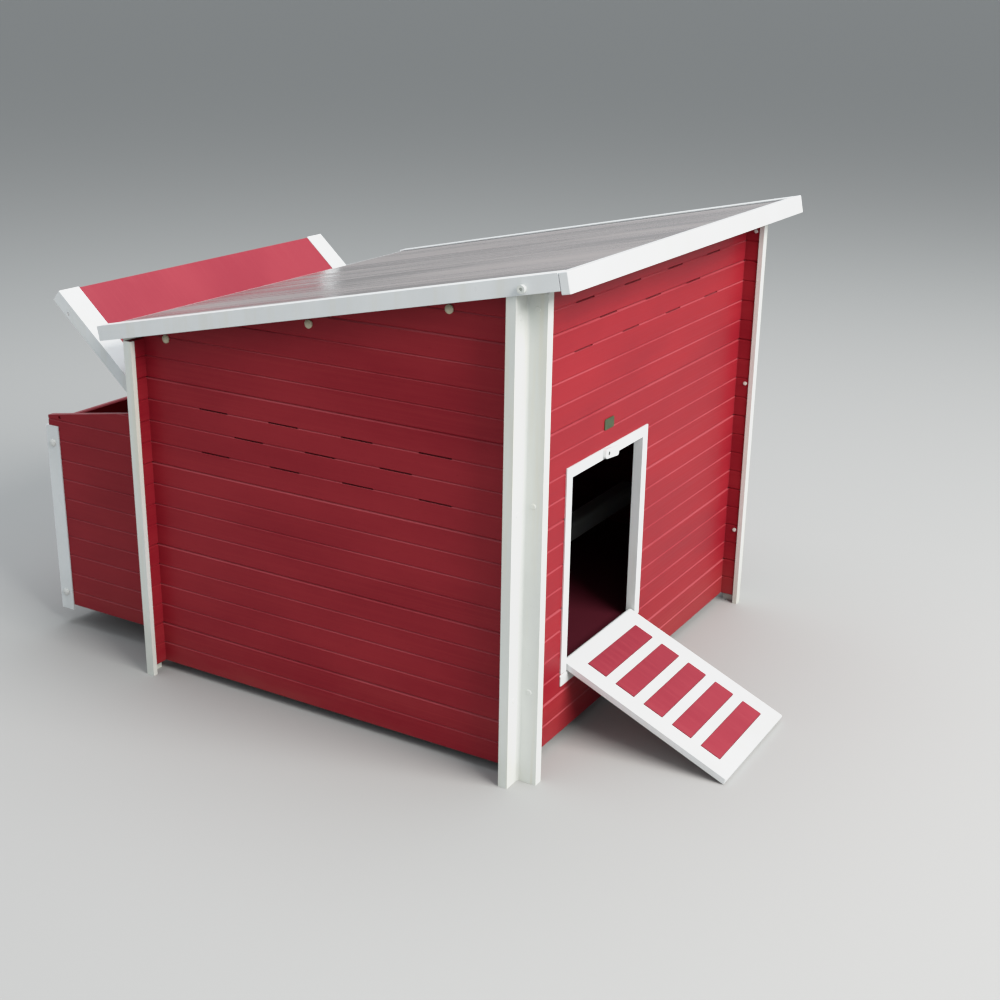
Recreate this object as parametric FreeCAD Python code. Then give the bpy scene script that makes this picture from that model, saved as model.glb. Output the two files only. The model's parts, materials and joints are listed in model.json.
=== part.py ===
import FreeCAD, Part
import math
import os

# Chicken coop made of grooved plastic boards: four interlocked walls, white L-shaped corner
# posts, a mono-pitch roof that tips up from the back, a pop door whose panel folds down as a
# ramp, and a nest box with a lifting lid on the back.
#
# The model is built in house coordinates, in millimetres: x = 0 at the outer face of the left
# gable wall, y = 0 at the outer face of the front wall, z = 0 at the ground. save() moves
# every node so that the origin is at the centre of the whole object's base.

# --- driving dimensions -------------------------------------------------------------------
COURSE = 46.0            # height of one board face between two grooves
WALL_BASE = 19.0         # the walls stop this far above the ground, the posts reach it
WIDTH = 1030.0           # between the outer faces of the two gable walls
DEPTH = 906.0            # between the outer faces of the front and back walls
WALL = 14.0              # thickness of every wall board
FIN = 40.0               # how far each wall runs on past the wall that it crosses
GROOVE = 2.0             # half width and depth of the V groove between two courses
BOARD_EDGE = 2.8         # larger bevel along the edges of each board
FIT = 0.3                # assembly gap between neighbouring pieces

ROOF_ANGLE = 12.0        # fall of the roof from front to back, degrees
ROOF_TOP = 975.0         # height of the roof trims' top face above the front wall's face
ROOF_SIDE = 46.3         # roof overhang past each gable wall
ROOF_FRONT = 100.0       # roof overhang in front of the front wall
ROOF_BACK = 71.0         # roof overhang behind the back wall
TRIM = 3.0               # thickness of the white trims
TRIM_DROP = 31.0         # depth of the barge trims' side face
TRIM_FLANGE = 28.0       # width of the barge trims' top flange
FASCIA = (18.0, 38.0)    # thickness and depth of the front fascia
SHEET = 4.0              # thickness of the roof sheet
ROOF_PIVOT = (-17.0, 958.0)   # y, z of the two bolts that the roof tips on

POST = 2.5               # wall thickness of the corner post profile
POST_LIP = 8.0           # return lip of the corner post profile
POST_COVE = 6.0          # radius in the post's visible inner corner
POST_TOP_FRONT = 946.5
POST_TOP_BACK = 745.0

DOOR_X = 341.5           # centre line of the pop door
DOOR_WIDTH = 312.0       # clear opening between the door stiles
DOOR_BOTTOM = 153.5
DOOR_TOP = 558.5
FRAME_FACE = 22.0        # visible width of the door frame
FRAME = 3.0              # thickness of the door frame profile

RAMP_PIVOT = (5.4, 163.4)     # y, z of the ramp's hinge pin
RAMP_LENGTH = 388.0      # from the pin to the free end
RAMP_WIDTH = 305.0
RAMP_THICK = 14.0
PIN_R = 3.0
PIN_CLEARANCE = 0.08     # radial running clearance on hinge pins
TREADS = 5
TREAD = (220.0, 44.5, 6.0)    # width, length and inlaid depth of one tread
TREAD_PITCH = 68.6
TREAD_START = 33.5       # from the pin to the first tread

VENT = (73.0, 3.4)       # length and height of one ventilation slot
FRONT_VENT_PITCH = 202.0
FRONT_VENT_MIDDLE = 524.0
GABLE_VENT_PITCH = 177.0

NEST_INSET = 60.0        # from the gable wall's outer face to the nest box's side wall
NEST_BACK = 1260.0       # y of the nest box's outer face
NEST_BOTTOM = 50.0
NEST_FLOOR = (60.0, 70.0)     # bottom and top of the nest box floor
NEST_WALL_TOP = 496.0    # top of the nest box's outer wall
NEST_COURSE_OFFSET = 40.0     # height of the nest walls' first groove
NEST_BAYS = 3
STRIP = (37.0, 2.5, 7.0) # width, side thickness and outer thickness of the nest corner strips
STRIP_RANGE = (39.0, 486.0)   # bottom and top of the corner strips

LID_PIVOT = (940.0, 563.0)    # y, z of the lid's hinge pins
LID_CLOSED = -9.5        # slope of the closed lid, degrees
LID_OPEN = 42.0          # slope of the lid as it stands open
LID_LENGTH = 339.5
LID_THICK = 10.0
LID_SKIRT = 16.0         # depth of the lid trims below the panel
LID_FLANGE = 57.0
LID_X = 53.0             # x of the left lid trim's outer face
LOCK_HOLE = (290.5, -8.0)     # place of the lid's lock hole, along and off the panel

CAP_R = 8.5              # radius of a bolt's domed cap
BOLT_R = 4.0
SCREW_R = 2.4
ROOST_Y = (262.0, 560.0)
ROOST = (45.0, 41.0)     # width and height of a roost bar
ROOST_BOTTOM = 222.0
FLOOR_TOP = 150.0
BEARER = (30.0, 50.0)    # width and depth of the rails inside the walls

SLOPE = math.tan(math.radians(ROOF_ANGLE))
RAMP_TIP_DROP = RAMP_PIVOT[1] - RAMP_THICK / 2 * math.cos(math.radians(23.8)) - FIT
RAMP_ANGLE = math.degrees(math.asin(RAMP_TIP_DROP / RAMP_LENGTH))
RAMP_REACH = (RAMP_LENGTH * math.cos(math.radians(RAMP_ANGLE))
              + RAMP_THICK / 2 * math.sin(math.radians(RAMP_ANGLE)))
FRONT_LIMIT = RAMP_PIVOT[0] - RAMP_REACH
BACK_LIMIT = NEST_BACK + STRIP[2]
CENTRE = FreeCAD.Vector(WIDTH / 2, (FRONT_LIMIT + BACK_LIMIT) / 2, 0)


# --- helpers ------------------------------------------------------------------------------
def save(name, *solids):
    """Write one node, moved so that the origin is at the centre of the object's base."""
    shape = solids[0] if len(solids) == 1 else Part.makeCompound(list(solids))
    shape = shape.copy()
    shape.translate(-CENTRE)
    if not shape.isValid():
        print("invalid:", name)
    shape.exportStep("parts/%s.step" % name)
    print("%-24s %2d solid(s) %10.0f mm3" % (name, len(shape.Solids), shape.Volume))


def box(x, y, z):
    """Box from (low, high) pairs along the three axes."""
    corner = FreeCAD.Vector(x[0], y[0], z[0])
    return Part.makeBox(x[1] - x[0], y[1] - y[0], z[1] - z[0], corner)


def prism(points, direction):
    """Closed polygon extruded along a vector."""
    wire = Part.makePolygon(points + [points[0]])
    return Part.Face(wire).extrude(direction)


def prism_x(points, x0, x1):
    """Outline of (y, z) points extruded from x0 to x1."""
    return prism([FreeCAD.Vector(x0, y, z) for y, z in points], FreeCAD.Vector(x1 - x0, 0, 0))


def rod_x(centre, radius, x0, x1):
    """Cylinder along x through the (y, z) centre."""
    return Part.makeCylinder(radius, x1 - x0, FreeCAD.Vector(x0, *centre), FreeCAD.Vector(1, 0, 0))


def rod_y(centre, radius, y0, y1):
    """Cylinder along y through the (x, z) centre."""
    start = FreeCAD.Vector(centre[0], y0, centre[1])
    return Part.makeCylinder(radius, y1 - y0, start, FreeCAD.Vector(0, 1, 0))


def on_slope(origin, angle, along, off):
    """(y, z) of a point given along and square to a sloping line through origin."""
    a = math.radians(angle)
    y = origin[0] + along * math.cos(a) - off * math.sin(a)
    z = origin[1] + along * math.sin(a) + off * math.cos(a)
    return (y, z)


def slope_bar(origin, angle, along, off, x):
    """Bar with a rectangular section that lies along a sloping line."""
    corners = [(along[0], off[0]), (along[1], off[0]), (along[1], off[1]), (along[0], off[1])]
    return prism_x([on_slope(origin, angle, s, h) for s, h in corners], x[0], x[1])


def mirror_x(shape):
    """The same piece on the other side of the coop."""
    return shape.mirror(FreeCAD.Vector(WIDTH / 2, 0, 0), FreeCAD.Vector(1, 0, 0))


def course(number):
    """Height of a groove, counted from the bottom of the walls."""
    return WALL_BASE + number * COURSE


def roof_z(y, off=0.0):
    """Height of the roof plane at y, off millimetres square to it."""
    return ROOF_TOP - y * SLOPE + off / math.cos(math.radians(ROOF_ANGLE))


def cut_all(shape, tools):
    """Shape less every tool."""
    return shape.cut(Part.makeCompound(tools)) if tools else shape


# --- boards -------------------------------------------------------------------------------
def board_section(z0, z1, grooves):
    """Outline (depth, z) of a board with bevelled edges and a V groove on both faces."""
    outer = [(BOARD_EDGE, z0)]
    for z in [z0] + list(grooves):
        if z > z0:
            outer += [(0.0, z - GROOVE), (GROOVE, z)]
        outer += [(0.0, z + (GROOVE if z > z0 else BOARD_EDGE))]
    outer += [(0.0, z1 - BOARD_EDGE), (BOARD_EDGE, z1)]
    return outer + [(WALL - depth, z) for depth, z in reversed(outer)]


def board_grooves(low, high):
    """Heights of the grooves inside a board that spans two course numbers."""
    return [course(k) for k in range(int(low) + 1, math.ceil(high)) if high - k > 0.2]


def wall_board(low, high, start, length, face, along_x):
    """Straight board between two course numbers, with its outer face at the given place."""
    outline = board_section(course(low) + FIT / 2, course(high) - FIT / 2, board_grooves(low, high))
    if along_x:
        points = [FreeCAD.Vector(start, face + depth, z) for depth, z in outline]
        return prism(points, FreeCAD.Vector(length, 0, 0))
    points = [FreeCAD.Vector(face + depth, start, z) for depth, z in outline]
    return prism(points, FreeCAD.Vector(0, length, 0))


BOARDS = [(0, 2), (2, 6), (6, 10), (10, 14), (14, 18), (18, 20.8)]
FRONT_TOP = roof_z(WALL, -8.2)
BACK_TOP = roof_z(DEPTH, -8.2)


def lap_height(low, high, top):
    """Where two crossing boards of the same level meet in their half-lap joint."""
    return (course(low) + min(course(high), top)) / 2


def vent_slots(centres, z, at):
    """Tools for a row of ventilation slots; at() places one slot by its centre."""
    half_length, half_height = VENT[0] / 2, VENT[1] / 2
    return [at((c - half_length, c + half_length), (z - half_height, z + half_height)) for c in centres]


def spread(count, pitch, middle):
    """Evenly spaced places about a middle."""
    return [middle + (i - (count - 1) / 2) * pitch for i in range(count)]


def front_vents():
    """Three staggered rows of slots under the fascia."""
    tools = []
    for number, count in ((19, 4), (18, 3), (17, 4)):
        row = spread(count, FRONT_VENT_PITCH, FRONT_VENT_MIDDLE)
        tools += vent_slots(row, course(number), lambda x, z: box(x, (-1, WALL + 1), z))
    return tools


def gable_vents():
    """Three staggered rows of slots half-way up the gable walls."""
    tools = []
    for number, count in ((13, 4), (12, 3), (11, 4)):
        row = spread(count, GABLE_VENT_PITCH, DEPTH / 2)
        tools += vent_slots(row, course(number), lambda y, z: box((-1, WALL + 1), y, z))
    return tools


def nest_bay_centres():
    """Middles of the nest box's bays."""
    inner = WIDTH - 2 * (NEST_INSET + WALL)
    return spread(NEST_BAYS, inner / NEST_BAYS, WIDTH / 2)


def door_cutout():
    """Hole in the front wall that the door frame lines."""
    half = DOOR_WIDTH / 2 + FRAME + FIT
    return box((DOOR_X - half, DOOR_X + half), (-1, WALL + 1),
               (DOOR_BOTTOM - FRAME_FACE, DOOR_TOP + FRAME + FIT))


def nest_cutouts():
    """Holes in the back wall through which the hens reach the nest bays."""
    half = 105.0
    return [box((x - half, x + half), (DEPTH - WALL - 1, DEPTH + 1), (course(3), course(8.5)))
            for x in nest_bay_centres()]


def cross_wall_outline(top, fin_top, y0):
    """Outline of a front or back wall: full height between the gables, lower at the fins."""
    body = box((0, WIDTH), (y0 - 1, y0 + WALL + 1), (0, top))
    fins = box((-FIN, WIDTH + FIN), (y0 - 1, y0 + WALL + 1), (0, fin_top - FIT))
    return body.fuse(fins)


def gable_outline():
    """Outline of a gable wall: sloping top, low fins, and a lug round the roof's pivot."""
    py, pz = ROOF_PIVOT
    lug = 11.0
    points = [(-FIN, 0), (-FIN, POST_TOP_FRONT - FIT), (py - lug, POST_TOP_FRONT - FIT), (py - lug, pz),
              (py, pz), (py, roof_z(0, -8.2)), (0, roof_z(0, -8.2)), (DEPTH, BACK_TOP),
              (DEPTH, POST_TOP_BACK - FIT), (DEPTH + FIN, POST_TOP_BACK - FIT), (DEPTH + FIN, 0)]
    return prism_x(points, -1, WALL + 1).fuse(rod_x((py, pz), lug, -1, WALL + 1))


def half_lap(board, low, high, top, upper, places, along_x):
    """Cut a board's half of the joint where it crosses another wall."""
    middle = lap_height(low, high, top)
    z = (middle - FIT / 2, course(high) + 1) if upper else (course(low) - 1, middle + FIT / 2)
    for place in places:
        span = (place - FIT, place + WALL + FIT)
        around = (-FIN - 1, max(WIDTH, DEPTH) + FIN + 1)
        tool = box(span, around, z) if along_x else box(around, span, z)
        board = board.cut(tool)
    return board


def cross_wall(y0, top, fin_top, openings):
    """Boards of the front or back wall, from the bottom up, with their joints and openings."""
    outline = cross_wall_outline(top, fin_top, y0)
    boards = []
    for low, high in BOARDS:
        if course(low) > top - 20:
            continue
        board = wall_board(low, high, -FIN, WIDTH + 2 * FIN, y0, True)
        board = half_lap(board, low, high, top, True, (0.0, WIDTH - WALL), True)
        board = cut_all(board.common(outline), openings + post_screw_holes())
        boards.append(board.removeSplitter())
    return boards


def gable_wall():
    """Boards of the left gable wall, from the bottom up."""
    outline = gable_outline()
    openings = gable_vents() + gable_bolt_holes() + post_screw_holes()
    boards = []
    for low, high in BOARDS:
        board = wall_board(low, high, -FIN, DEPTH + 2 * FIN, 0.0, False)
        board = half_lap(board, low, high, FRONT_TOP, False, (0.0,), False)
        if course(low) < BACK_TOP - 20:
            board = half_lap(board, low, high, BACK_TOP, False, (DEPTH - WALL,), False)
        board = cut_all(board.common(outline), openings)
        boards.append(board.removeSplitter())
    return boards


def make_walls():
    """Write the boards of all four walls."""
    front = cross_wall(0.0, FRONT_TOP, POST_TOP_FRONT, front_vents() + [door_cutout(), latch_screw_hole()])
    back = cross_wall(DEPTH - WALL, BACK_TOP, POST_TOP_BACK, nest_cutouts())
    for number, board in enumerate(front, 1):
        save("front_board_%d" % number, board)
    for number, board in enumerate(back, 1):
        save("back_board_%d" % number, board)
    gable = gable_wall()
    for number, board in enumerate(gable[:4], 1):
        save("left_gable_board_%d" % number, board)
        save("right_gable_board_%d" % number, mirror_x(board))
    save("left_gable_top_boards", *gable[4:])
    save("right_gable_top_boards", *[mirror_x(board) for board in gable[4:]])


# --- corner posts -------------------------------------------------------------------------
def post_outline():
    """Profile of the front left post: two legs on the fins, wrapped round the fins' ends."""
    a, b = FIT, FIT + POST
    far_in, far_out = FIN + FIT, FIN + FIT + POST
    inner, outer = WALL + FIT, WALL + FIT + POST
    leg = [(-b - POST_COVE, -b), (-far_out, -b), (-far_out, outer), (POST_LIP - FIN, outer),
           (POST_LIP - FIN, inner), (-far_in, inner), (-far_in, -a), (-a, -a)]
    other = [(y, x) for x, y in reversed(leg[:-1])]
    return leg + other


def corner_post(top):
    """Front left post, standing on the ground."""
    points = [FreeCAD.Vector(x, y, 0) for x, y in post_outline()]
    edges = [Part.makeLine(p, q) for p, q in zip(points, points[1:])]
    b = FIT + POST
    middle = b + POST_COVE * (1 - math.sqrt(0.5))
    cove = Part.Arc(points[-1], FreeCAD.Vector(-middle, -middle, 0), points[0]).toShape()
    face = Part.Face(Part.Wire(edges + [cove]))
    return face.extrude(FreeCAD.Vector(0, 0, top))


def post_screw_places():
    """(face of the crossing wall, heights) of the screws that hold the posts to the fins."""
    return ((0.0, [course(k) for k in (3.76, 11.76, 19.5)]),
            (DEPTH, [course(k) for k in (0.5, 5.5, 10.5, 15.5)]))


def post_screw(x, y, z, along, radius, inner=0.0, outer=0.0):
    """Screw through a post leg and a fin; along is the unit vector from leg to fin."""
    start = FreeCAD.Vector(x, y, z) - along * (FIT + POST + outer)
    return Part.makeCylinder(radius, FIT + POST + WALL + outer + inner, start, along)


def each_post_screw(make):
    """Call make for every post screw of the left side, with its place and direction."""
    pieces = []
    middle = (FIN + FIT) / 2 + 3
    for y_face, heights in post_screw_places():
        front = y_face == 0.0
        for z in heights:
            pieces.append(make(0.0, y_face - middle if front else y_face + middle, z, FreeCAD.Vector(1, 0, 0)))
            if front:
                pieces.append(make(-middle, y_face, z - 14.0, FreeCAD.Vector(0, 1, 0)))
    return pieces


def post_screw_holes():
    """Screw holes on both sides of the coop."""
    left = each_post_screw(lambda x, y, z, d: post_screw(x, y, z, d, SCREW_R + 0.05, 2.0, 2.0))
    return left + [mirror_x(hole) for hole in left]


def post_screw_piece(x, y, z, along):
    """Flat-headed screw with a low round nut on the far side."""
    start = FreeCAD.Vector(x, y, z)
    shank = post_screw(x, y, z, along, SCREW_R, 3.0, 0.0)
    head = Part.makeCone(5.6, 4.6, 1.0, start - along * (FIT + POST), -along)
    nut = Part.makeCylinder(4.2, 2.6, start + along * WALL, along)
    return shank.fuse([head, nut]).removeSplitter()


def make_posts():
    """Write the four corner posts and their screws."""
    holes = post_screw_holes()
    front = corner_post(POST_TOP_FRONT)
    back = corner_post(POST_TOP_BACK).mirror(FreeCAD.Vector(0, DEPTH / 2, 0), FreeCAD.Vector(0, 1, 0))
    for name, post in (("front", front), ("back", back)):
        post = cut_all(post, holes)
        save(name + "_left_post", post)
        save(name + "_right_post", mirror_x(post))
    screws = each_post_screw(post_screw_piece)
    save("post_screws", *(screws + [mirror_x(screw) for screw in screws]))


# --- bolts --------------------------------------------------------------------------------
def cap_bolt(x_face, centre, grip):
    """Domed-cap bolt that enters the face at x_face, pointing to +x, with a nut at its end."""
    cap = Part.makeCylinder(CAP_R, 3.0, FreeCAD.Vector(x_face - 3.0, *centre), FreeCAD.Vector(1, 0, 0))
    ball_r = 14.0
    ball_x = x_face - 3.0 + math.sqrt(ball_r ** 2 - CAP_R ** 2)
    dome = Part.makeSphere(ball_r, FreeCAD.Vector(ball_x, *centre))
    keep = rod_x(centre, CAP_R, x_face - 8.0, x_face - 3.0)
    shank = rod_x(centre, BOLT_R, x_face, x_face + grip + 5.0)
    nut = rod_x(centre, 7.0, x_face + grip, x_face + grip + 5.0)
    return cap.fuse([dome.common(keep), shank, nut]).removeSplitter()


def gable_bolt_places():
    """(y, z) of the three bolts that hold each roof rail to its gable wall."""
    return [(y, roof_z(y, -46.0)) for y in (156.0, 469.0, 832.0)]


def gable_bolt_holes():
    """Bolt holes in the gable wall and at the roof's pivot."""
    holes = [rod_x(place, BOLT_R + 0.1, -1, WALL + 1) for place in gable_bolt_places()]
    return holes + [rod_x(ROOF_PIVOT, BOLT_R + 0.1, -1, WALL + 1)]


def strip_bolt_places():
    """(y, z) of the bolts in the nest box's corner strips."""
    y = NEST_BACK + STRIP[2] - STRIP[0] / 2
    return [(y, 446.0), (y, 81.0)]


def make_bolts():
    """Write the domed-cap bolts of the roof rails and the nest box strips."""
    bolts = [cap_bolt(0.0, place, WALL + FIT + BEARER[0]) for place in gable_bolt_places()]
    strip_face = NEST_INSET - FIT - STRIP[1]
    bolts += [cap_bolt(strip_face, place, STRIP[1] + FIT + WALL) for place in strip_bolt_places()]
    save("cap_bolts", *(bolts + [mirror_x(bolt) for bolt in bolts]))


# --- roof ---------------------------------------------------------------------------------
ROOF_ORIGIN = (0.0, ROOF_TOP)
ROOF_START = -ROOF_FRONT / math.cos(math.radians(ROOF_ANGLE))
ROOF_END = (DEPTH + ROOF_BACK) / math.cos(math.radians(ROOF_ANGLE))
SHEET_TOP = -TRIM - 0.2
SHEET_BOTTOM = SHEET_TOP - SHEET


def roof_bar(along, off, x):
    """Bar in the plane of the roof."""
    return slope_bar(ROOF_ORIGIN, -ROOF_ANGLE, along, off, x)


def barge_trim():
    """Left barge trim: a side face and a top flange."""
    along = (ROOF_START + FASCIA[0] + 1.0, ROOF_END)
    side = roof_bar(along, (-TRIM_DROP, 0), (-ROOF_SIDE, -ROOF_SIDE + TRIM))
    flange = roof_bar(along, (-TRIM, 0), (-ROOF_SIDE, -ROOF_SIDE + TRIM_FLANGE))
    trim = side.fuse(flange).removeSplitter()
    return trim.cut(rod_x(ROOF_PIVOT, BOLT_R + PIN_CLEARANCE, -ROOF_SIDE - 1, 0))


def pivot_bolt():
    """Bolt that the roof tips on, with a dished cap outside and a nut inside the gable wall."""
    face = -ROOF_SIDE - FIT
    head = rod_x(ROOF_PIVOT, 7.5, face - 7.0, face)
    dish = rod_x(ROOF_PIVOT, 3.2, face - 8.0, face - 4.0)
    shank = rod_x(ROOF_PIVOT, BOLT_R, face, WALL + 6.0)
    nut = rod_x(ROOF_PIVOT, 7.0, WALL + FIT, WALL + 6.0)
    return head.cut(dish).fuse([shank, nut]).removeSplitter()


def pivot_spacer():
    """Tube between the barge trim and the gable wall's lug."""
    x = (-ROOF_SIDE + TRIM + FIT, -0.1)
    return rod_x(ROOF_PIVOT, 9.0, *x).cut(rod_x(ROOF_PIVOT, BOLT_R + 0.1, x[0] - 1, x[1] + 1))


def make_roof():
    """Write the roof's pieces and its pivots."""
    across = (-ROOF_SIDE, WIDTH + ROOF_SIDE)
    inside = (-ROOF_SIDE + TRIM + FIT, WIDTH + ROOF_SIDE - TRIM - FIT)
    fascia_back = ROOF_START + FASCIA[0]
    save("roof_sheet", roof_bar((fascia_back + FIT, ROOF_END - 6.0), (SHEET_BOTTOM, SHEET_TOP), inside))
    save("front_fascia", roof_bar((ROOF_START, fascia_back), (-FASCIA[1], 0), across))
    trim = barge_trim()
    save("left_barge_trim", trim)
    save("right_barge_trim", mirror_x(trim))
    save("rear_drip_edge", roof_bar((ROOF_END - 6.0 + FIT, ROOF_END - FIT), (-22.0, SHEET_TOP - 0.2), inside))
    rail_x = (WALL + BEARER[0] + 20.0, WIDTH - WALL - BEARER[0] - 20.0)
    rail_off = (SHEET_BOTTOM - 20.0, SHEET_BOTTOM)
    save("roof_rails", *[roof_bar((s, s + 40.0), rail_off, rail_x) for s in (60.0, 420.0, 800.0)])
    save("roof_pivot_bolts", pivot_bolt(), mirror_x(pivot_bolt()))
    save("roof_pivot_spacers", pivot_spacer(), mirror_x(pivot_spacer()))


# --- inside the house ---------------------------------------------------------------------
def bearers():
    """Left rails inside the gable wall: one under the roof and one under the floor."""
    x = (WALL + FIT, WALL + FIT + BEARER[0])
    ends = (WALL + 6.0, DEPTH - WALL - 6.0)
    roof_rail = prism_x([(ends[0], roof_z(ends[0], -8.6)), (ends[1], roof_z(ends[1], -8.6)),
                         (ends[1], roof_z(ends[1], -8.6 - BEARER[1])),
                         (ends[0], roof_z(ends[0], -8.6 - BEARER[1]))], x[0], x[1])
    holes = [rod_x(place, BOLT_R + 0.1, 0, 60) for place in gable_bolt_places()]
    floor_rail = box(x, ends, (FLOOR_TOP - 42.0, FLOOR_TOP - 12.0))
    return [cut_all(roof_rail, holes), floor_rail]


def roost_bracket(y):
    """Left saddle that carries the end of a roost bar."""
    half = ROOST[0] / 2
    x = (WALL + FIT, WALL + FIT + 24.0)
    block = box(x, (y - half - 9.0, y + half + 9.0), (ROOST_BOTTOM - 15.0, ROOST_BOTTOM + 28.0))
    seat = box((x[0] + 3.0, x[1] + 1.0), (y - half - FIT, y + half + FIT),
               (ROOST_BOTTOM - FIT, ROOST_BOTTOM + 40.0))
    return block.cut(seat)


def roost_bar(y):
    """Bar across the house with its top edges rounded for the hens' feet."""
    half = ROOST[0] / 2
    x = (WALL + FIT + 3.5, WIDTH - WALL - FIT - 3.5)
    bar = box(x, (y - half, y + half), (ROOST_BOTTOM, ROOST_BOTTOM + ROOST[1]))
    top = [e for e in bar.Edges if e.BoundBox.XLength > 100 and e.BoundBox.ZMin > ROOST_BOTTOM + 1]
    return bar.makeFillet(9.0, top)


def make_inside():
    """Write the floor, the rails and the roosts."""
    rails = bearers()
    save("inner_bearers", *(rails + [mirror_x(rail) for rail in rails]))
    save("floor_panel", box((WALL + 2, WIDTH - WALL - 2), (WALL + 4.5, DEPTH - WALL - 2),
                            (FLOOR_TOP - 12.0 + FIT, FLOOR_TOP)))
    save("roost_bars", *[roost_bar(y) for y in ROOST_Y])
    brackets = [roost_bracket(y) for y in ROOST_Y]
    save("roost_brackets", *(brackets + [mirror_x(bracket) for bracket in brackets]))


# --- pop door, ramp and latch -------------------------------------------------------------
def channel(across, depth0, depth1):
    """Outline (across, y) of a frame channel that grips the wall's cut edge.

    across is (outer edge of the face, inner edge of the face), in that order."""
    outer, inner = across
    way = 1.0 if inner > outer else -1.0
    web = inner - way * FRAME
    return [(outer, depth0), (inner, depth0), (inner, depth1), (outer, depth1),
            (outer, depth1 - FRAME), (web, depth1 - FRAME), (web, depth0 + FRAME), (outer, depth0 + FRAME)]


FRAME_DEPTH = (-FRAME - FIT / 2, WALL + FRAME + FIT / 2)


def door_stile(side):
    """Upright of the door frame; side is -1 for the left one and 1 for the right one."""
    inner = DOOR_X + side * DOOR_WIDTH / 2
    outline = channel((inner + side * FRAME_FACE, inner), *FRAME_DEPTH)
    points = [FreeCAD.Vector(x, y, DOOR_BOTTOM) for x, y in outline]
    stile = prism(points, FreeCAD.Vector(0, 0, DOOR_TOP - DOOR_BOTTOM))
    return stile.cut(rod_x(RAMP_PIVOT, PIN_R + 0.05, inner - 10, inner + 10))


def frame_bar(outline):
    """Header or sill as wide as the frame, with its ends notched round the wall."""
    half = DOOR_WIDTH / 2 + FRAME_FACE
    web = DOOR_WIDTH / 2 + FRAME
    bar = prism_x(outline, DOOR_X - half, DOOR_X + half)
    wall = (-FIT / 2, WALL + FIT / 2)
    notch = box((DOOR_X + web, DOOR_X + half + 1), wall, (0, POST_TOP_FRONT))
    other = box((DOOR_X - half - 1, DOOR_X - web), wall, (0, POST_TOP_FRONT))
    return bar.cut([notch, other])


def door_header():
    """Top of the door frame, over both uprights."""
    outline = [(y, z) for z, y in channel((DOOR_TOP + FRAME_FACE, DOOR_TOP), *FRAME_DEPTH)]
    return frame_bar(outline).cut(latch_screw_hole())


def door_sill():
    """Bottom of the door frame, sloped to shed water and to clear the ramp."""
    front, back = FRAME_DEPTH
    base = DOOR_BOTTOM - FRAME_FACE - 5.0
    outline = [(front, base), (front, DOOR_BOTTOM - 6.0), (4.0, DOOR_BOTTOM), (back, DOOR_BOTTOM),
               (back, base), (back - FRAME, base), (back - FRAME, DOOR_BOTTOM - FRAME_FACE + 4.0),
               (front + FRAME, DOOR_BOTTOM - FRAME_FACE + 4.0), (front + FRAME, base)]
    return frame_bar(outline)


def ramp_bar(along, off, x):
    """Bar in the plane of the lowered ramp; along runs from the pin to the free end."""
    return slope_bar(RAMP_PIVOT, 180.0 + RAMP_ANGLE, along, (-off[1], -off[0]), x)


def tread_starts():
    """Distances from the pin to the near edge of each tread."""
    return [TREAD_START + i * TREAD_PITCH for i in range(TREADS)]


def ramp_panel():
    """Door panel with a rounded heel for the pin and a pocket for each tread."""
    half = RAMP_THICK / 2
    x = (DOOR_X - RAMP_WIDTH / 2, DOOR_X + RAMP_WIDTH / 2)
    panel = ramp_bar((0.0, RAMP_LENGTH), (-half, half), x)
    ends = [e for e in panel.Edges if e.BoundBox.XLength < 1 and e.Length < RAMP_THICK + 1
            and e.BoundBox.YMax < FRONT_LIMIT + 30]
    panel = panel.makeFillet(3.0, ends)
    panel = panel.fuse(rod_x(RAMP_PIVOT, half, *x)).removeSplitter()
    gap = 0.7
    pockets = [ramp_bar((s - gap, s + TREAD[1] + gap), (half - TREAD[2], half + 5.0),
                        (DOOR_X - TREAD[0] / 2 - gap, DOOR_X + TREAD[0] / 2 + gap))
               for s in tread_starts()]
    bore = rod_x(RAMP_PIVOT, PIN_R + PIN_CLEARANCE, x[0] - 1, x[1] + 1)
    return cut_all(panel, pockets + [bore])


def ramp_tread(start):
    """Inlaid tread that stands a little proud of the ramp."""
    half = RAMP_THICK / 2
    tread = ramp_bar((start, start + TREAD[1]), (half - TREAD[2] + 0.1, half + 1.2),
                     (DOOR_X - TREAD[0] / 2, DOOR_X + TREAD[0] / 2))
    upper = tread.Faces[0]
    for face in tread.Faces:
        if face.CenterOfMass.z > upper.CenterOfMass.z and face.Area > TREAD[0] * TREAD[1] * 0.9:
            upper = face
    return tread.makeFillet(0.9, upper.Edges)


LATCH_PLACE = (324.0, 570.0)
LATCH_TILT = 6.0
LATCH_BACK = FRAME_DEPTH[0] - FIT
LATCH_THICK = 8.0
LATCH_REACH = (13.0, 44.0)     # from the screw to the left and right ends
LATCH_HALF = 10.0


def latch_screw_hole():
    """Hole for the turn latch's screw through the header and the wall."""
    return rod_y(LATCH_PLACE, SCREW_R + 0.05, -10, 40)


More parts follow.
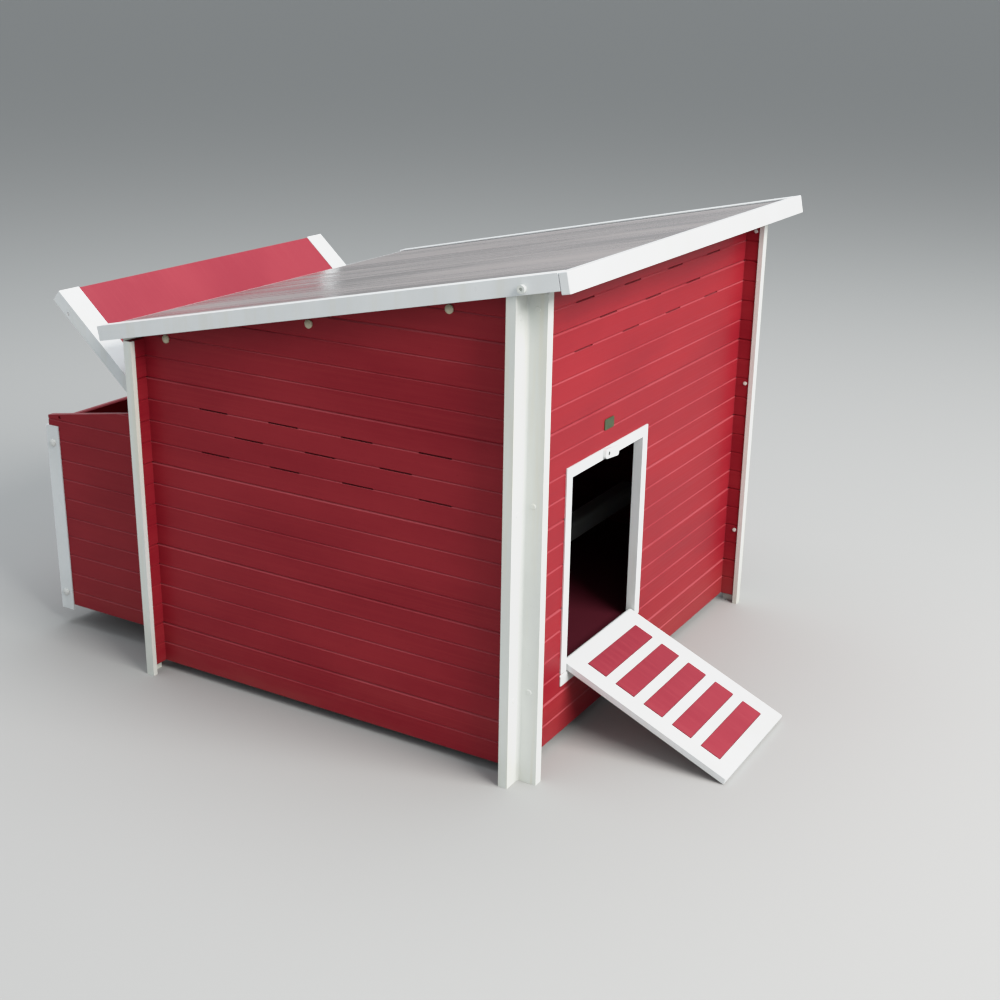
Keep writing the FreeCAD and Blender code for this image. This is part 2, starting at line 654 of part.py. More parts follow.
def turn_latch():
    """Rounded turn button that keeps the closed door from falling open."""
    x, z = LATCH_PLACE
    bar = box((x - LATCH_REACH[0], x + LATCH_REACH[1]), (LATCH_BACK - LATCH_THICK, LATCH_BACK),
              (z - LATCH_HALF, z + LATCH_HALF))
    ends = [e for e in bar.Edges if e.BoundBox.YLength > LATCH_THICK - 1]
    bar = bar.makeFillet(6.0, ends)
    front = [e for e in bar.Edges if e.BoundBox.YMax < LATCH_BACK - LATCH_THICK + 0.1]
    bar = bar.makeFillet(1.2, front)
    bar = bar.cut(rod_y(LATCH_PLACE, SCREW_R + PIN_CLEARANCE, -20, 0))
    sink = rod_y(LATCH_PLACE, 4.6, LATCH_BACK - LATCH_THICK - 1, LATCH_BACK - LATCH_THICK + 2.6)
    dimple = rod_y((x + 27, z), 2.0, LATCH_BACK - LATCH_THICK - 1, LATCH_BACK - LATCH_THICK + 2.0)
    bar = bar.cut(sink).cut(dimple)
    return bar.rotate(FreeCAD.Vector(x, 0, z), FreeCAD.Vector(0, 1, 0), LATCH_TILT)


def latch_screw():
    """Screw that the turn latch swings on."""
    front = LATCH_BACK - LATCH_THICK
    head = rod_y(LATCH_PLACE, 4.4, front + 0.8, front + 2.5)
    shank = rod_y(LATCH_PLACE, SCREW_R, front + 0.8, WALL + FRAME + 4.0)
    nut = rod_y(LATCH_PLACE, 4.5, FRAME_DEPTH[1] + 0.05, WALL + FRAME + 4.0)
    return shank.fuse([head, nut]).removeSplitter()


def make_door():
    """Write the door frame, the ramp, the turn latch and the plain plate over the door."""
    save("door_header", door_header())
    save("door_stiles", door_stile(-1), door_stile(1))
    save("door_sill", door_sill())
    save("ramp_panel", ramp_panel())
    save("ramp_treads", *[ramp_tread(start) for start in tread_starts()])
    reach = DOOR_WIDTH / 2 + 2.6
    save("ramp_hinge_pin", rod_x(RAMP_PIVOT, PIN_R, DOOR_X - reach, DOOR_X + reach))
    save("turn_latch", turn_latch())
    save("turn_latch_screw", latch_screw())
    plate = box((319, 359), (-1.7, -0.1), (616, 638))
    corners = [e for e in plate.Edges if e.BoundBox.YLength > 1]
    save("blank_plate", plate.makeFillet(4.0, corners))


# --- nest box -----------------------------------------------------------------------------
NEST_X = (NEST_INSET, WIDTH - NEST_INSET)
NEST_START = DEPTH + FIT


def nest_grooves(top):
    """Heights of the grooves in the nest box's walls."""
    heights = []
    z = NEST_COURSE_OFFSET + COURSE
    while z < top - 12.0:
        heights.append(z)
        z += COURSE
    return heights


def lid_line(y):
    """Height of the closed lid's underside."""
    return LID_PIVOT[1] + (y - LID_PIVOT[0]) * math.tan(math.radians(LID_CLOSED))


def lock_hole_closed():
    """(y, z) of the lid's lock hole when the lid is shut."""
    return on_slope(LID_PIVOT, LID_CLOSED, *LOCK_HOLE)


def nest_side():
    """Left side wall of the nest box, its top sloped to meet the lid."""
    top = lid_line(NEST_START)
    outline = board_section(NEST_BOTTOM, top + 30.0, nest_grooves(top))
    points = [FreeCAD.Vector(NEST_X[0] + depth, NEST_START, z) for depth, z in outline]
    side = prism(points, FreeCAD.Vector(0, NEST_BACK - NEST_START, 0))
    under = prism_x([(NEST_START - 1, 0), (NEST_BACK + 1, 0), (NEST_BACK + 1, lid_line(NEST_BACK + 1) - 0.5),
                     (NEST_START - 1, lid_line(NEST_START - 1) - 0.5)], NEST_X[0] - 1, NEST_X[0] + WALL + 1)
    holes = [rod_x(place, BOLT_R + 0.1, 0, 200) for place in strip_bolt_places()]
    return cut_all(side.common(under), holes + [rod_x(lock_hole_closed(), 4.0, 0, 200)])


def nest_outer_wall():
    """Long outer wall of the nest box, between its side walls."""
    outline = board_section(NEST_BOTTOM, NEST_WALL_TOP, nest_grooves(NEST_WALL_TOP))
    start = NEST_X[0] + WALL + FIT
    points = [FreeCAD.Vector(start, NEST_BACK - depth, z) for depth, z in outline]
    wall = prism(points, FreeCAD.Vector(WIDTH - 2 * start, 0, 0))
    spare = [rod_x(place, 7.5, 0, WIDTH) for place in strip_bolt_places()]
    return cut_all(wall, spare)


def corner_strip():
    """Left angle strip over the nest box's outer corner."""
    width, thick, outer_thick = STRIP
    x = NEST_X[0] - FIT - thick
    z = STRIP_RANGE
    side = box((x, x + thick), (NEST_BACK + outer_thick - width, NEST_BACK + outer_thick), z)
    outer = box((x, x + width), (NEST_BACK + FIT, NEST_BACK + outer_thick), z)
    holes = [rod_x(place, BOLT_R + 0.1, 0, NEST_X[0]) for place in strip_bolt_places()]
    return cut_all(side.fuse(outer).removeSplitter(), holes)


def hinge_rail():
    """Fixed strip along the back wall that carries the lid's hinges and closes the gap there."""
    start = NEST_X[0] + WALL + FIT
    y = (NEST_START, RAIL_FACE)
    outline = [(y[0], lid_line(y[0]) - 32.0), (y[0], lid_line(y[0]) + LID_THICK),
               (y[1], lid_line(y[1]) + LID_THICK), (y[1], lid_line(y[1]) - 32.0)]
    return prism_x(outline, start, WIDTH - start)


def nest_divider(x):
    """Wall between two nest bays."""
    return box((x - 4, x + 4), (NEST_START + FIT, NEST_BACK - WALL - FIT), (NEST_FLOOR[1] + FIT, 400.0))


def make_nest():
    """Write the nest box."""
    side = nest_side()
    save("nest_left_side", side)
    save("nest_right_side", mirror_x(side))
    save("nest_outer_wall", nest_outer_wall())
    inner = (NEST_X[0] + WALL + FIT, NEST_X[1] - WALL - FIT)
    save("nest_floor", box(inner, (NEST_START, NEST_BACK - WALL - FIT), NEST_FLOOR))
    bay = (WIDTH - 2 * (NEST_INSET + WALL)) / NEST_BAYS
    save("nest_dividers", *[nest_divider(x) for x in spread(NEST_BAYS - 1, bay, WIDTH / 2)])
    save("nest_hinge_rail", hinge_rail())
    save("nest_corner_strips", corner_strip(), mirror_x(corner_strip()))


# --- nest box lid -------------------------------------------------------------------------
HINGE_X = [WIDTH / 2 - 300.0, WIDTH / 2 + 300.0]
KNUCKLE_R = 5.0
LEAF = 2.5
RAIL_FACE = LID_PIVOT[0] - KNUCKLE_R - 5.0     # y of the hinge rail's outer face


def lid_bar(along, off, x):
    """Bar in the plane of the open lid."""
    return slope_bar(LID_PIVOT, LID_OPEN, along, off, x)


def lid_trim():
    """Left end trim of the lid: a wide top flange and a skirt outside the side wall."""
    along = (7.0, LID_LENGTH)
    top = LID_THICK + POST
    skirt = lid_bar(along, (-LID_SKIRT, top), (LID_X, LID_X + TRIM))
    flange = lid_bar(along, (LID_THICK, top), (LID_X, LID_X + LID_FLANGE))
    hole = rod_x(on_slope(LID_PIVOT, LID_OPEN, *LOCK_HOLE), 4.0, LID_X - 1, LID_X + TRIM + 1)
    return skirt.fuse(flange).removeSplitter().cut(hole)


def hinge_knuckles(x, places):
    """Barrel sections of one hinge; places are (from, to) pairs about its middle."""
    return [rod_x(LID_PIVOT, KNUCKLE_R, x + a, x + b) for a, b in places]


def lid_leaf(x):
    """Hinge leaf under the lid, with the barrel sections at its two ends."""
    leaf = lid_bar((2.0, 48.0), (-LEAF, 0.0), (x - 40, x + 40))
    clear = rod_x(LID_PIVOT, KNUCKLE_R + 1.0, x - 18, x + 18)
    leaf = leaf.cut(clear).fuse(hinge_knuckles(x, [(-40, -18.3), (18.3, 40)])).removeSplitter()
    return leaf.cut(rod_x(LID_PIVOT, PIN_R + PIN_CLEARANCE, x - 50, x + 50))


def wall_leaf(x):
    """Hinge bracket on the back wall, with the middle barrel section."""
    y, z = LID_PIVOT
    rail = RAIL_FACE + FIT
    plate = box((x - 40, x + 40), (rail, rail + LEAF), (z - 26, z - 8))
    arm = box((x - 17.7, x + 17.7), (rail, y), (z - KNUCKLE_R, z))
    web = box((x - 17.7, x + 17.7), (rail, rail + LEAF), (z - 10, z))
    barrel = hinge_knuckles(x, [(-17.7, 17.7)])
    bracket = plate.fuse([arm, web] + barrel).removeSplitter()
    return bracket.cut(rod_x(LID_PIVOT, PIN_R + 0.05, x - 50, x + 50))


def make_lid():
    """Write the nest box lid and its hinges."""
    panel_x = (LID_X + TRIM + FIT, WIDTH - LID_X - TRIM - FIT)
    save("lid_panel", lid_bar((7.0, LID_LENGTH), (0.0, LID_THICK - 0.1), panel_x))
    save("lid_trims", lid_trim(), mirror_x(lid_trim()))
    save("lid_hinge_leaves", *[lid_leaf(x) for x in HINGE_X])
    save("lid_wall_brackets", *[wall_leaf(x) for x in HINGE_X])
    save("lid_hinge_pins", *[rod_x(LID_PIVOT, PIN_R, x - 42, x + 42) for x in HINGE_X])


def main():
    """Write every node of the coop."""
    os.makedirs("parts", exist_ok=True)
    make_walls()
    make_posts()
    make_bolts()
    make_roof()
    make_inside()
    make_door()
    make_nest()
    make_lid()
    print("ramp angle %.3f, front %.2f, back %.2f, centre y %.3f" %
          (RAMP_ANGLE, FRONT_LIMIT, BACK_LIMIT, CENTRE.y))


main()
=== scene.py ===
import bpy
import json
import math
from mathutils import Matrix, Vector

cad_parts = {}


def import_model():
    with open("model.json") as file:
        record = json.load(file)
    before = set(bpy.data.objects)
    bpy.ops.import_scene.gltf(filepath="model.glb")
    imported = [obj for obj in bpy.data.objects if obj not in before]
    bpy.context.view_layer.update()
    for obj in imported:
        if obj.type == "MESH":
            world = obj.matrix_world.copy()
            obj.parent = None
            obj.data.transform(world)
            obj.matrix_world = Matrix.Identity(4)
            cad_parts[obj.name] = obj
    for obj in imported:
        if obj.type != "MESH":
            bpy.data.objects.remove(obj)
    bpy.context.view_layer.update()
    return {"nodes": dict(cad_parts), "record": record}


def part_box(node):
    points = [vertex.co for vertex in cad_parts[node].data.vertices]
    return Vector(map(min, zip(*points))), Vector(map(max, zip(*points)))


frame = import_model()
NODES = frame["nodes"]


# --- places, in metres, from the frame ----------------------------------------------------
def middle(node, axis):
    """Middle of a node's box along one axis."""
    low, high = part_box(node)
    return (low[axis] + high[axis]) / 2


X, Y, Z = range(3)
LEFT = middle("left_gable_board_2", X)
RIGHT = middle("right_gable_board_2", X)
FRONT = middle("front_board_2", Y)
BACK = middle("back_board_2", Y)
FACE = 0.0074            # from the middle of a wall to just outside its face
FRAME_DEPTH = 0.0203     # from the middle of the front wall to just behind the door frame
GROUND_GAP = 0.02        # height over which the hollow of the house begins
ABOVE = 1.0              # height over the whole object
BEHIND = 0.82            # past the nest box

INSIDE = ((LEFT, FRONT, GROUND_GAP), (RIGHT, BACK, ABOVE))
DEEP_INSIDE = ((LEFT, FRONT + FRAME_DEPTH, GROUND_GAP), (RIGHT, BACK, ABOVE))
BODY = ((LEFT - FACE, FRONT - FACE, 0.0), (RIGHT + FACE, BEHIND, ABOVE))    # not the corner fins

ROOF_SEAM_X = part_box("right_barge_trim")[0][X] - 0.0113     # inner edge of the painted shadow beside the trims
ROOF_SEAM_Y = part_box("roof_sheet")[0][Y] + 0.0099           # inner edge of the painted shadow behind the fascia
SEAM_EDGE = 0.0025                                          # how softly that painted shadow fades
NEST_START = (0.5, 0.6)                                     # where the caps turn white
LID_ANGLE = math.radians(42.0)                              # slope of the open nest lid

# --- camera and light ---------------------------------------------------------------------
CAMERA_AT = (-2.6495, -1.6537, 1.4367)
CAMERA_FORWARD = (0.81413, 0.47430, -0.33500)
CAMERA_RIGHT = (0.50800, -0.86122, 0.01523)
LENS = 52.3
SENSOR = 36.0
SHOULDER = ((0.3, 0.3), (0.6, 0.6), (1.0, 0.84), (1.6, 0.97))   # brightness and how it is shown
SKY = (0.90, 0.96, 1.0)
SKY_STRENGTH = 0.62
FLOOR_HALF = 400.0
LIGHTS = {
    "front": {
        "at": (-0.9, -5.4, 4.3),
        "aim": (0.0, -0.4, 0.4),
        "size": (4.5, 3.0),
        "power": 640.0,
        "colour": (1.0, 0.975, 0.94),
    },
    "top": {
        "at": (0.6, 0.4, 6.0),
        "aim": (0.0, 0.2, 0.5),
        "size": (5.0, 5.0),
        "power": 250.0,
        "colour": (0.94, 0.97, 1.0),
    },
}

# --- colours ------------------------------------------------------------------------------
BOARD_DEEP = (0.235, 0.009, 0.018)
BOARD_FRESH = (0.285, 0.016, 0.025)
BOARD_LINE = (0.33, 0.030, 0.032)
BOARD_FLECK = (0.17, 0.008, 0.012)
BOARD_DUST = (0.20, 0.08, 0.055)
# painted highlight: paler red on faces that look up, such as the lower groove bevels
BOARD_PAINTED_HIGHLIGHT = (0.46, 0.11, 0.13)
# painted shade: near-black red for the faces inside the house
BOARD_PAINTED_SHADE = (0.055, 0.003, 0.009)
SHEET_DEEP = (0.235, 0.017, 0.033)
SHEET_FRESH = (0.27, 0.025, 0.041)
SHEET_STREAK = (0.33, 0.05, 0.066)
POST_WHITE = (0.68, 0.705, 0.675)
TRIM_WHITE = (0.74, 0.765, 0.775)
WHITE_RUNS = (0.64, 0.61, 0.48)
WHITE_SPECKS = (0.38, 0.36, 0.29)
WHITE_SOIL = (0.36, 0.35, 0.25)
WHITE_SCUFFS = (0.50, 0.49, 0.45)
# painted shade: near-black for white parts deep inside the house
WHITE_PAINTED_SHADE = (0.02, 0.02, 0.018)
ROOF_DEEP = (0.150, 0.126, 0.122)
ROOF_PALE = (0.215, 0.188, 0.182)
ROOF_STREAK = (0.30, 0.275, 0.265)
ROOF_HAIR = (0.36, 0.34, 0.33)
# painted shadow: dark band on the roof sheet beside the trims and behind the fascia
ROOF_PAINTED_SHADOW = (0.035, 0.040, 0.048)
CREAM_PALE = (0.56, 0.52, 0.38)
CREAM_DEEP = (0.44, 0.40, 0.27)
CAP_WHITE = (0.66, 0.67, 0.65)
GREEN_DEEP = (0.022, 0.045, 0.016)
GREEN_PALE = (0.055, 0.075, 0.03)
STEEL_DEEP = (0.13, 0.13, 0.13)
STEEL_PALE = (0.24, 0.24, 0.23)
FLOOR_GREY = (0.36, 0.36, 0.355)

MOST = (0.3, 0.7)        # range that most of a noise's values lie in


# --- node helpers -------------------------------------------------------------------------
def rgb(colour, dark=1.0):
    """Colour with full alpha, darkened by a factor."""
    return tuple(channel * dark for channel in colour) + (1.0,)


class Shader:
    """A material being built, with short calls for the nodes that it needs."""

    def __init__(self, name):
        self.material = bpy.data.materials.new(name)
        self.material.use_nodes = True
        self.tree = self.material.node_tree
        self.bsdf = self.tree.nodes["Principled BSDF"]
        self.place = self.add("ShaderNodeTexCoord").outputs["Object"]

    def add(self, kind, **settings):
        """A new node with its settings made."""
        node = self.tree.nodes.new(kind)
        for key, value in settings.items():
            setattr(node, key, value)
        return node

    def link(self, source, target):
        """Connect a socket, or set it when source is a plain value."""
        if isinstance(source, bpy.types.NodeSocket):
            self.tree.links.new(source, target)
        else:
            target.default_value = source

    def set(self, **values):
        """Set or connect inputs of the surface shader by name."""
        for key, value in values.items():
            self.link(value, self.bsdf.inputs[key.replace("_", " ")])

    def stretch(self, scale, turn):
        """Object coordinates turned, then scaled by different amounts along each axis."""
        turned = self.add("ShaderNodeMapping", vector_type="POINT")
        self.link(self.place, turned.inputs["Vector"])
        turned.inputs["Rotation"].default_value = turn
        scaled = self.add("ShaderNodeMapping", vector_type="POINT")
        self.link(turned.outputs["Vector"], scaled.inputs["Vector"])
        scaled.inputs["Scale"].default_value = scale
        return scaled.outputs["Vector"]

    def noise(self, scale, detail=3.0, rough=0.5, distortion=0.0, turn=(0.0, 0.0, 0.0)):
        """Noise between 0 and 1; the scale is cells per metre along X, Y and Z."""
        node = self.add("ShaderNodeTexNoise")
        self.link(self.stretch(scale, turn), node.inputs["Vector"])
        node.inputs["Scale"].default_value = 1.0
        node.inputs["Detail"].default_value = detail
        node.inputs["Roughness"].default_value = rough
        node.inputs["Distortion"].default_value = distortion
        return node.outputs["Fac"]

    def remap(self, value, low, high, to_low=0.0, to_high=1.0):
        """Value moved smoothly from one range to another and clamped."""
        node = self.add("ShaderNodeMapRange", interpolation_type="SMOOTHSTEP")
        self.link(value, node.inputs["Value"])
        node.inputs["From Min"].default_value = low
        node.inputs["From Max"].default_value = high
        node.inputs["To Min"].default_value = to_low
        node.inputs["To Max"].default_value = to_high
        return node.outputs["Result"]

    def maths(self, operation, a, b=0.0):
        """One arithmetic step."""
        node = self.add("ShaderNodeMath", operation=operation)
        self.link(a, node.inputs[0])
        self.link(b, node.inputs[1])
        return node.outputs["Value"]

    def axis(self, name):
        """Object coordinate along X, Y or Z."""
        node = self.add("ShaderNodeSeparateXYZ")
        self.link(self.place, node.inputs["Vector"])
        return node.outputs[name]

    def facing_up(self, low, high):
        """1 on faces that look up, 0 on upright ones."""
        normal = self.add("ShaderNodeNewGeometry").outputs["True Normal"]
        node = self.add("ShaderNodeSeparateXYZ")
        self.link(normal, node.inputs["Vector"])
        return self.remap(node.outputs["Z"], low, high)

    def near_ground(self, low, high):
        """1 below the first height, 0 above the second."""
        return self.remap(self.axis("Z"), low, high, 1.0, 0.0)

    def within(self, low, high):
        """1 between two corners, 0 outside them."""
        inside = 1.0
        for name, start, stop in zip("XYZ", low, high):
            place = self.axis(name)
            inside = self.maths("MULTIPLY", inside, self.maths("GREATER_THAN", place, start))
            inside = self.maths("MULTIPLY", inside, self.maths("LESS_THAN", place, stop))
        return inside

    def blend(self, factor, a, b):
        """Mix of two colours."""
        node = self.add("ShaderNodeMix", data_type="RGBA", blend_type="MIX")
        self.link(factor, node.inputs["Factor"])
        self.link(a, node.inputs["A"])
        self.link(b, node.inputs["B"])
        return node.outputs["Result"]

    def relief(self, height, strength, distance=0.0003):
        """Bump from a height value, stacked on any bump already there."""
        node = self.add("ShaderNodeBump")
        self.link(height, node.inputs["Height"])
        node.inputs["Strength"].default_value = strength
        node.inputs["Distance"].default_value = distance
        before = self.bsdf.inputs["Normal"].links
        if before:
            self.link(before[0].from_socket, node.inputs["Normal"])
        self.link(node.outputs["Normal"], self.bsdf.inputs["Normal"])

    def pitting(self, scale, strength):
        """Very fine, even unevenness of a moulded or rolled face."""
        self.relief(self.noise((scale, scale, scale), detail=2.0), strength)


# --- materials ----------------------------------------------------------------------------
def board_red(name, dark):
    """Deep red recycled plastic with faint extrusion lines, a painted highlight on upward-facing groove
    edges and painted shade inside the house.
    """
    s = Shader(name)
    broad = s.noise((2.2, 2.2, 7.0), detail=4.0, rough=0.6)
    lines = s.noise((1.2, 1.2, 420.0), detail=4.0, rough=0.7)
    flecks = s.noise((90.0, 90.0, 260.0), detail=2.0)
    # mask of the inside of the house, where shade is painted
    inside = s.within(*INSIDE)

    colour = s.blend(s.remap(broad, *MOST), rgb(BOARD_DEEP, dark), rgb(BOARD_FRESH, dark))
    colour = s.blend(s.remap(lines, 0.45, 0.75, 0.0, 0.30), colour, rgb(BOARD_LINE, dark))
    colour = s.blend(s.remap(flecks, 0.62, 0.75, 0.0, 0.25), colour, rgb(BOARD_FLECK, dark))
    dust = s.maths("MULTIPLY", s.near_ground(0.02, 0.16), s.remap(broad, 0.35, 0.7))
    colour = s.blend(s.maths("MULTIPLY", dust, 0.2), colour, rgb(BOARD_DUST, dark))
    # Painted highlight: faces that look up are made paler, standing in for the sky light caught by the
    # lower groove bevels.
    groove_painted_highlight = s.maths("MULTIPLY", s.facing_up(0.3, 0.6), s.remap(broad, 0.25, 0.65, 0.1, 0.5))
    groove_painted_highlight = s.maths("MULTIPLY", groove_painted_highlight, s.within(*BODY))
    groove_painted_highlight = s.maths("MULTIPLY", groove_painted_highlight, s.maths("SUBTRACT", 1.0, inside))
    colour = s.blend(groove_painted_highlight, colour, rgb(BOARD_PAINTED_HIGHLIGHT, dark))
    # Painted shade: every red face inside the house is blended to a near-black red.
    colour = s.blend(inside, colour, rgb(BOARD_PAINTED_SHADE))

    rough = s.remap(s.maths("ADD", lines, broad), 0.7, 1.3, 0.34, 0.50)
    rough = s.maths("MAXIMUM", rough, s.maths("MULTIPLY", inside, 0.95))
    s.set(Base_Color=colour, Roughness=rough, Specular_IOR_Level=0.15)
    s.relief(lines, 0.10, 0.0004)
    s.pitting(500.0, 0.06)
    return s.material


def sheet_red(name, slope):
    """Smoother red sheet with brushed streaks along its length."""
    s = Shader(name)
    streaks = s.noise((160.0, 3.0, 3.0), detail=5.0, rough=0.65, turn=(slope, 0.0, 0.0))
    broad = s.noise((4.0, 4.0, 4.0))
    colour = s.blend(s.remap(broad, *MOST), rgb(SHEET_DEEP), rgb(SHEET_FRESH))
    colour = s.blend(s.remap(streaks, 0.45, 0.75, 0.0, 0.35), colour, rgb(SHEET_STREAK))
    rough = s.remap(streaks, *MOST, 0.34, 0.5)
    s.set(Base_Color=colour, Roughness=rough, Specular_IOR_Level=0.3)
    s.relief(streaks, 0.08, 0.0004)
    s.pitting(420.0, 0.05)
    return s.material


def white_plastic(name, tint, dirt, rough):
    """White extruded plastic with faint runs and scuffs, a little soiled towards the ground, with
    painted shade on the parts deep inside the house.
    """
    s = Shader(name)
    broad = s.noise((7.0, 7.0, 4.0), detail=4.0, rough=0.55)
    lines = s.noise((260.0, 260.0, 5.0), detail=4.0, rough=0.6)
    specks = s.noise((70.0, 70.0, 70.0), rough=0.6)
    runs = s.noise((38.0, 38.0, 2.2), detail=4.0, rough=0.6)
    scuffs = s.noise((16.0, 110.0, 110.0), detail=5.0, rough=0.7)

    colour = s.blend(s.remap(broad, *MOST), rgb(tint), rgb(tint, 0.93))
    colour = s.blend(s.remap(runs, 0.45, 0.72, 0.0, dirt * 2.0), colour, rgb(WHITE_RUNS))
    colour = s.blend(s.remap(specks, 0.66, 0.76, 0.0, dirt), colour, rgb(WHITE_SPECKS))
    soil = s.maths("MULTIPLY", s.near_ground(0.0, 0.22), s.remap(broad, 0.3, 0.75))
    colour = s.blend(s.maths("MULTIPLY", soil, dirt * 1.6), colour, rgb(WHITE_SOIL))
    colour = s.blend(s.remap(scuffs, 0.60, 0.74, 0.0, dirt), colour, rgb(WHITE_SCUFFS))
    # Painted shade: white parts deep inside the house, such as the roost bars, are darkened towards
    # near-black.
    shade = s.maths("MULTIPLY", s.within(*DEEP_INSIDE), 0.6)
    colour = s.blend(shade, colour, rgb(WHITE_PAINTED_SHADE))

    gloss = s.remap(broad, *MOST, rough - 0.05, rough + 0.07)
    s.set(Base_Color=colour, Roughness=gloss, Specular_IOR_Level=0.4)
    s.relief(lines, 0.05)
    s.pitting(380.0, 0.05)
    return s.material


def roof_skin(name):
    """Taupe sheet with long soft streaks down the slope, a semi-gloss face and a painted shadow at its
    seams.
    """
    s = Shader(name)
    wide = s.noise((7.0, 0.7, 1.0), rough=0.55, distortion=0.3)
    fine = s.noise((60.0, 1.6, 1.6), detail=4.0, rough=0.65)
    hair = s.noise((420.0, 5.0, 5.0), rough=0.6)
    # Painted shadow: a dark band beside the side trims and behind the fascia, where the trims shade the
    # sheet.
    beside = s.remap(s.maths("ABSOLUTE", s.axis("X")), ROOF_SEAM_X - SEAM_EDGE, ROOF_SEAM_X)
    behind = s.remap(s.axis("Y"), ROOF_SEAM_Y, ROOF_SEAM_Y + SEAM_EDGE, 1.0, 0.0)
    painted_seam_shadow = s.maths("MULTIPLY", s.maths("MAXIMUM", beside, behind), 0.85)

    colour = s.blend(s.remap(wide, 0.35, 0.65), rgb(ROOF_DEEP), rgb(ROOF_PALE))
    colour = s.blend(s.remap(fine, 0.5, 0.72, 0.0, 0.5), colour, rgb(ROOF_STREAK))
    colour = s.blend(s.remap(hair, 0.55, 0.75, 0.0, 0.2), colour, rgb(ROOF_HAIR))
    colour = s.blend(painted_seam_shadow, colour, rgb(ROOF_PAINTED_SHADOW))

    rough = s.remap(s.maths("ADD", wide, fine), 0.75, 1.25, 0.17, 0.40)
    s.set(Base_Color=colour, Roughness=s.maths("MAXIMUM", rough, painted_seam_shadow), Specular_IOR_Level=0.5)
    s.relief(wide, 0.25, 0.004)
    s.relief(fine, 0.10, 0.0006)
    s.pitting(300.0, 0.04)
    return s.material


def cream_fixing(name):
    """Moulded cream plastic of the bolt caps, whiter on the nest box."""
    s = Shader(name)
    broad = s.noise((60.0, 60.0, 60.0))
    colour = s.blend(s.remap(broad, *MOST), rgb(CREAM_PALE), rgb(CREAM_DEEP))
    colour = s.blend(s.remap(s.axis("Y"), *NEST_START), colour, rgb(CAP_WHITE))
    s.set(Base_Color=colour, Roughness=s.remap(broad, *MOST, 0.3, 0.45))
    s.relief(broad, 0.05)
    return s.material


def green_plate(name):
    """Dark green plate with a mottled, slightly worn face."""
    s = Shader(name)
    broad = s.noise((120.0, 120.0, 120.0), detail=4.0, rough=0.6)
    colour = s.blend(s.remap(broad, *MOST), rgb(GREEN_DEEP), rgb(GREEN_PALE))
    s.set(Base_Color=colour, Roughness=s.remap(broad, *MOST, 0.35, 0.5))
    s.relief(broad, 0.1)
    return s.material


def steel(name):
    """Dull, darkened steel of the hinge pins and the latch screw."""
    s = Shader(name)
    drawn = s.noise((40.0, 300.0, 300.0))
    colour = s.blend(drawn, rgb(STEEL_DEEP), rgb(STEEL_PALE))
    s.set(Base_Color=colour, Roughness=s.remap(drawn, *MOST, 0.25, 0.42), Metallic=1.0)
    return s.material


MATERIALS = {
    "red_wall": board_red("board_red", dark=1.0),
    "red_panel": sheet_red("sheet_red", LID_ANGLE),
    # the inner red parts are painted half as bright, as painted shade
    "red_inside": board_red("board_inside_painted_shade", dark=0.5),
    "white_post": white_plastic("post_white", POST_WHITE, dirt=0.22, rough=0.36),
    "white_trim": white_plastic("trim_white", TRIM_WHITE, dirt=0.10, rough=0.32),
    "roof_skin": roof_skin("roof_skin"),
    "cream_fixing": cream_fixing("cream_fixing"),
    "steel_pin": steel("steel_pin"),
    "green_plate": green_plate("green_plate"),
}


# --- carried-over CAD nodes ---------------------------------------------------------------
SOFT_EDGES = {
    "front_left_post": 0.0007,
    "front_right_post": 0.0007,
    "back_left_post": 0.0007,
    "back_right_post": 0.0007,
    "front_fascia": 0.0016,
    "left_barge_trim": 0.0009,
    "right_barge_trim": 0.0009,
    "rear_drip_edge": 0.0008,
    "roof_sheet": 0.0008,
    "door_header": 0.0008,
    "door_stiles": 0.0008,
    "door_sill": 0.0008,
    "ramp_panel": 0.0012,
    "nest_corner_strips": 0.0010,
    "lid_panel": 0.0012,
    "lid_trims": 0.0009,
    "nest_hinge_rail": 0.0008,
}
SAME_POINT = 0.00002
FLAT_ANGLE = math.radians(1.0)
SHARP_ANGLE = math.radians(30.0)


def soften(node, width):
    """Round a CAD node's sharp edges without touching its own mesh."""
    obj = NODES[node]
    weld = obj.modifiers.new("weld", "WELD")
    weld.merge_threshold = SAME_POINT
    flat = obj.modifiers.new("flat", "DECIMATE")
    flat.decimate_type = "DISSOLVE"
    flat.angle_limit = FLAT_ANGLE
    bevel = obj.modifiers.new("bevel", "BEVEL")
    bevel.width = width
    bevel.segments = 2
    bevel.limit_method = "ANGLE"
    bevel.angle_limit = SHARP_ANGLE
    bevel.harden_normals = False


def dress(node, slot):
    """Give a CAD node the material of its record slot."""
    obj = NODES[node]
    obj.data.materials.clear()
    obj.data.materials.append(MATERIALS[slot])


for part in frame["record"]["subparts"]:
    dress(part["node"], part["material_slot"])
for node, width in SOFT_EDGES.items():
    soften(node, width)


# --- stage --------------------------------------------------------------------------------
def place_in_scene(name, data):
    """A new object of the scene that holds the given data."""
    obj = bpy.data.objects.new(name, data)
    bpy.context.scene.collection.objects.link(obj)
    return obj


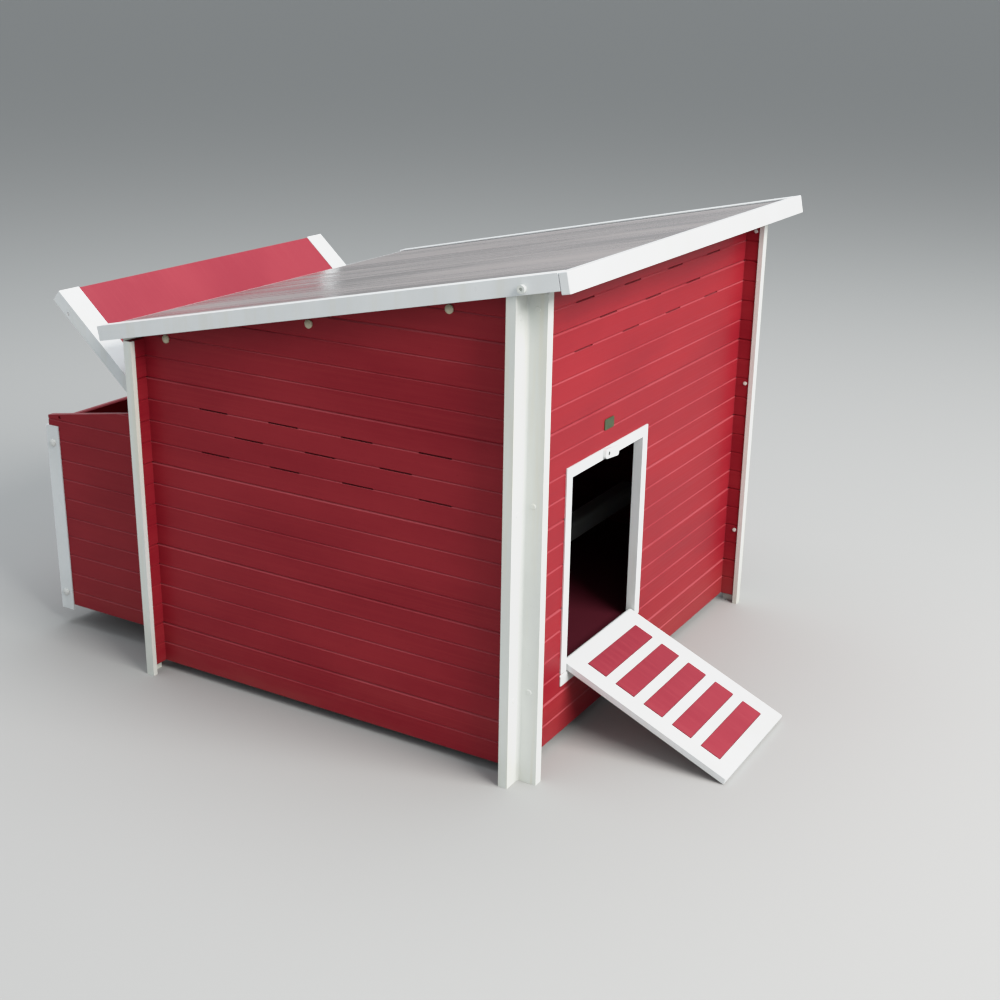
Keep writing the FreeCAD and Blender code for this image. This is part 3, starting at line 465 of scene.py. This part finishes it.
def camera():
    """Camera at the viewing angle of the picture, a little rolled."""
    data = bpy.data.cameras.new("camera")
    data.lens = LENS
    data.sensor_width = SENSOR
    obj = place_in_scene("camera", data)
    back = -Vector(CAMERA_FORWARD).normalized()
    right = Vector(CAMERA_RIGHT).normalized()
    up = back.cross(right)
    turn = Matrix((right, up, back)).transposed()
    obj.matrix_world = Matrix.Translation(CAMERA_AT) @ turn.to_4x4()
    bpy.context.scene.camera = obj


def area_light(name, at, aim, size, power, colour):
    """Rectangular soft light that faces a point."""
    data = bpy.data.lights.new(name, "AREA")
    data.shape = "RECTANGLE"
    data.size, data.size_y = size
    data.energy = power
    data.color = colour
    obj = place_in_scene(name, data)
    obj.location = at
    obj.rotation_euler = (Vector(aim) - Vector(at)).to_track_quat("-Z", "Y").to_euler()


def floor():
    """Plain pale floor that runs to the horizon."""
    mesh = bpy.data.meshes.new("floor")
    signs = ((-1, -1), (1, -1), (1, 1), (-1, 1))
    corners = [(x * FLOOR_HALF, y * FLOOR_HALF, 0.0) for x, y in signs]
    mesh.from_pydata(corners, [], [(0, 1, 2, 3)])
    obj = place_in_scene("floor", mesh)
    s = Shader("floor")
    s.set(Base_Color=rgb(FLOOR_GREY), Roughness=0.95, Specular_IOR_Level=0.1)
    mesh.materials.append(s.material)


def world():
    """Even, slightly blue light from all round."""
    light = bpy.data.worlds.new("world")
    light.use_nodes = True
    background = light.node_tree.nodes["Background"]
    background.inputs["Color"].default_value = rgb(SKY)
    background.inputs["Strength"].default_value = SKY_STRENGTH
    bpy.context.scene.world = light


def tone():
    """Plain display with a soft shoulder, so that bright white faces keep their shading."""
    view = bpy.context.scene.view_settings
    view.view_transform = "Standard"
    view.use_curve_mapping = True
    view.curve_mapping.use_clip = False
    curve = view.curve_mapping.curves[3]
    curve.points[0].location = (0.0, 0.0)
    curve.points[1].location = SHOULDER[-1]
    for bright, shown in SHOULDER[:-1]:
        curve.points.new(bright, shown)
    view.curve_mapping.update()


camera()
floor()
world()
for name, light in LIGHTS.items():
    area_light(name, **light)
tone()
